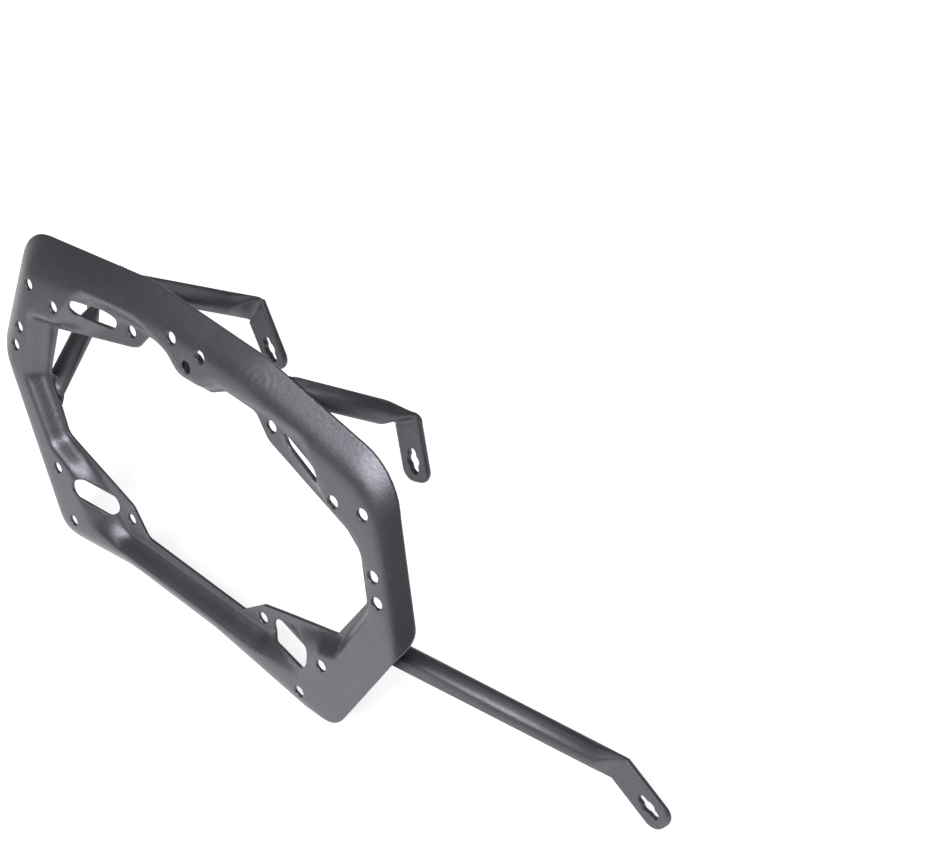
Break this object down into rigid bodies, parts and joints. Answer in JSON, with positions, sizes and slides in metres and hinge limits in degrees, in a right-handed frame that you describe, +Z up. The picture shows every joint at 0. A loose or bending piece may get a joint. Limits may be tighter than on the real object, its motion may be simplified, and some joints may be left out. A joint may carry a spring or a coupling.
{
  "type": "pannier frame",
  "caption": "Pressed sheet-steel ring with bent-back rim, sunk slotted lip and punched holes, carried on welded tube struts with flattened keyhole ends, powder coated black.",
  "frame": {"origin": "on the surface the frame stands on, under the middle of its overall box", "axes": "+Z up, +X along the lower rail towards the long strut, the outer face looks to -Y"},
  "size_m": [0.6314, 0.1498, 0.2567],
  "materials": {
    "pressed_sheet": "satin black powder coat, fine grain",
    "coated_tube": "satin black powder coat, fine grain",
    "coated_bush": "satin black powder coat, fine grain",
    "coated_weld": "satin black powder coat, fine grain"
  },
  "bodies": {
    "root": {"carrier_plate": "pressed_sheet", "upper_left_arm": "coated_tube", "upper_right_arm": "coated_tube", "lower_strut": "coated_tube", "side_strut": "coated_tube", "threaded_boss": "coated_bush", "upper_left_weld": "coated_weld", "upper_right_weld": "coated_weld", "strut_weld": "coated_weld", "side_weld_lower": "coated_weld", "side_weld_upper": "coated_weld"}
  },
  "joints": []
}
